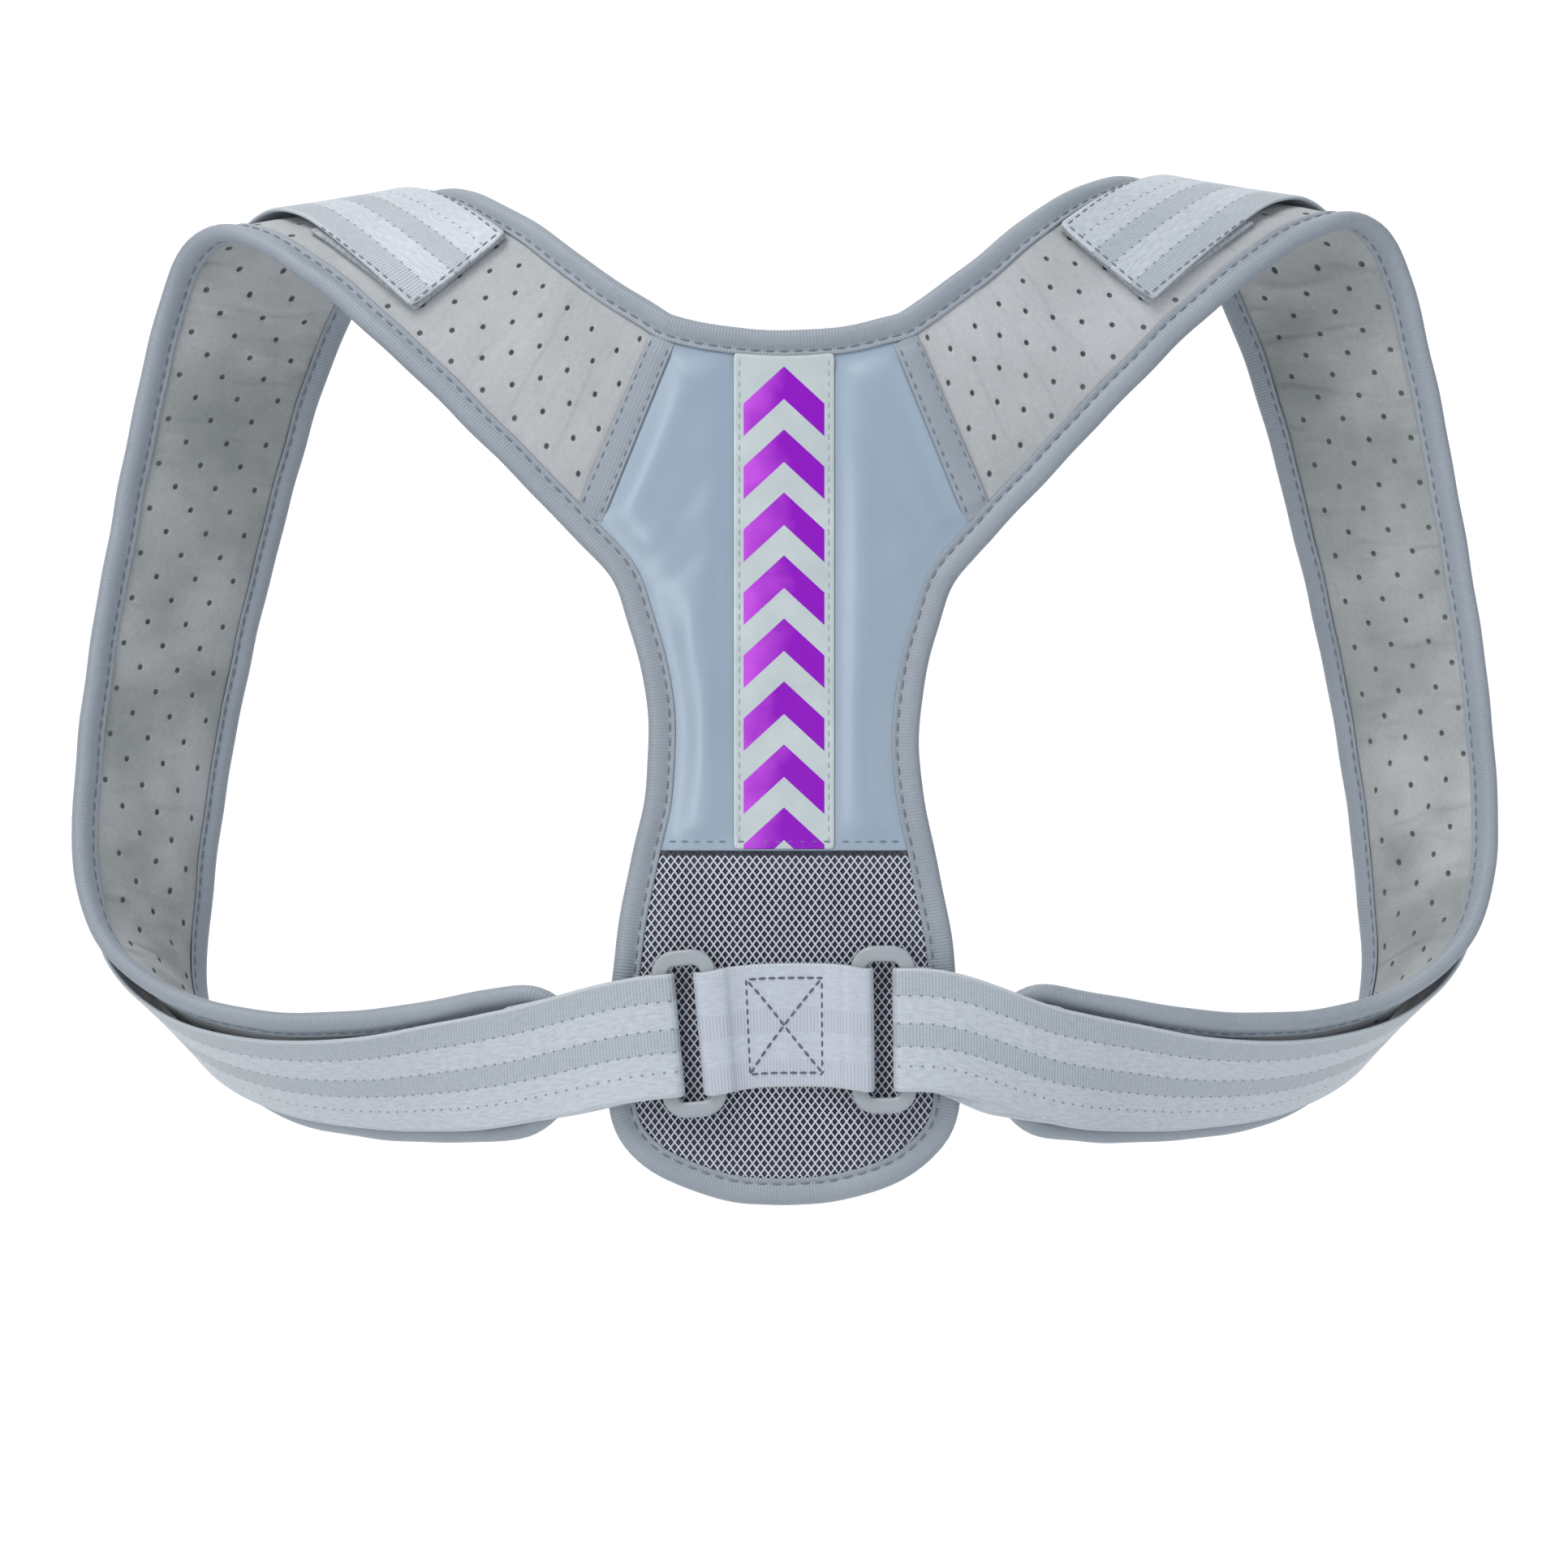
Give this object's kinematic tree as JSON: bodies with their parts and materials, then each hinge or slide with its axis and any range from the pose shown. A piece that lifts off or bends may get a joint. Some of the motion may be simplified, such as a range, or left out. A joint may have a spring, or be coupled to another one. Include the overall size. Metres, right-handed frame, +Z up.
{
  "type": "posture corrector",
  "caption": "Worn back brace with a Y-shaped panel, padded perforated shoulder wings, bound edges, adjustable webbing straps and loop buckles at the foot.",
  "frame": {"origin": "on the body side of the back panel, on its centreline, at the waist where the panel is narrowest", "axes": "+X to the wearer's right, +Y to the wearer's front, +Z up"},
  "size_m": [0.4564, 0.094, 0.3253],
  "materials": {
    "smooth_fabric": "smooth coated fabric, soft gloss",
    "mesh_fabric": "woven air mesh, matte",
    "reflective": "reflective tape with purple chevrons, glossy",
    "binding": "woven binding tape, matte",
    "perforated_fabric": "perforated padded fabric, matte",
    "hook_tape": "hook tape, matte",
    "webbing": "woven nylon webbing, slight sheen",
    "plastic": "moulded plastic, satin"
  },
  "bodies": {
    "root": {"yoke_panel": "smooth_fabric", "mesh_panel": "mesh_fabric", "reflective_strip": "reflective", "panel_binding": "binding", "neck_binding": "binding", "left_wing_binding": "binding", "right_wing_binding": "binding", "left_seam_tape": "binding", "right_seam_tape": "binding", "left_wing": "perforated_fabric", "right_wing": "perforated_fabric", "left_hook_patch": "hook_tape", "right_hook_patch": "hook_tape", "left_strap": "webbing", "right_strap": "webbing", "buckle_link": "webbing", "left_buckle": "plastic", "right_buckle": "plastic"}
  },
  "joints": []
}
